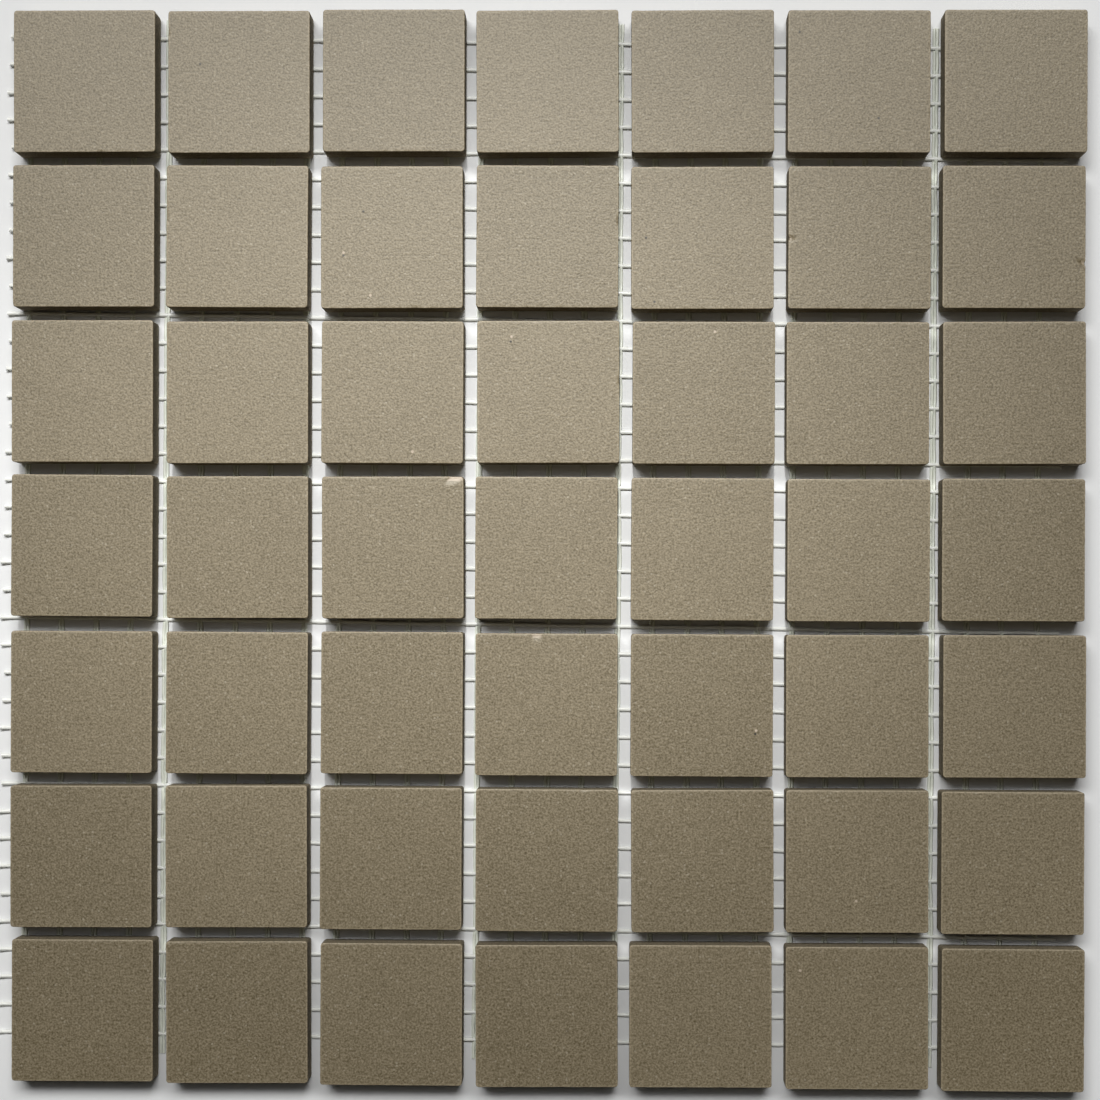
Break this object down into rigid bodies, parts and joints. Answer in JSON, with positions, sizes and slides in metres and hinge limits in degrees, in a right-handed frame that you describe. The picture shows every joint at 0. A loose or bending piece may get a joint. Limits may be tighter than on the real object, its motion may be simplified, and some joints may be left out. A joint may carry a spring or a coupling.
{
  "type": "mosaic tile sheet",
  "caption": "Square sheet of small unglazed porcelain tiles set with even joints on a glass-fibre net, ready to be bedded as one piece on a floor or wall.",
  "frame": {"origin": "under the middle of the sheet's outline, on the underside of the net", "axes": "+Z out of the tiles' faces, +X along a row from column 1 to column 7, +Y towards row 1"},
  "size_m": [0.1539, 0.152, 0.0044],
  "materials": {
    "tile": "matt, unglazed, fine grained",
    "net": "resin-coated glass fibre"
  },
  "bodies": {
    "root": {"tile_1_1": "tile", "tile_1_2": "tile", "tile_1_3": "tile", "tile_1_4": "tile", "tile_1_5": "tile", "tile_1_6": "tile", "tile_1_7": "tile", "tile_2_1": "tile", "tile_2_2": "tile", "tile_2_3": "tile", "tile_2_4": "tile", "tile_2_5": "tile", "tile_2_6": "tile", "tile_2_7": "tile", "tile_3_1": "tile", "tile_3_2": "tile", "tile_3_3": "tile", "tile_3_4": "tile", "tile_3_5": "tile", "tile_3_6": "tile", "tile_3_7": "tile", "tile_4_1": "tile", "tile_4_2": "tile", "tile_4_3": "tile", "tile_4_4": "tile", "tile_4_5": "tile", "tile_4_6": "tile", "tile_4_7": "tile", "tile_5_1": "tile", "tile_5_2": "tile", "tile_5_3": "tile", "tile_5_4": "tile", "tile_5_5": "tile", "tile_5_6": "tile", "tile_5_7": "tile", "tile_6_1": "tile", "tile_6_2": "tile", "tile_6_3": "tile", "tile_6_4": "tile", "tile_6_5": "tile", "tile_6_6": "tile", "tile_6_7": "tile", "tile_7_1": "tile", "tile_7_2": "tile", "tile_7_3": "tile", "tile_7_4": "tile", "tile_7_5": "tile", "tile_7_6": "tile", "tile_7_7": "tile", "net_back": "net", "net_middle": "net", "net_front": "net"}
  },
  "joints": []
}
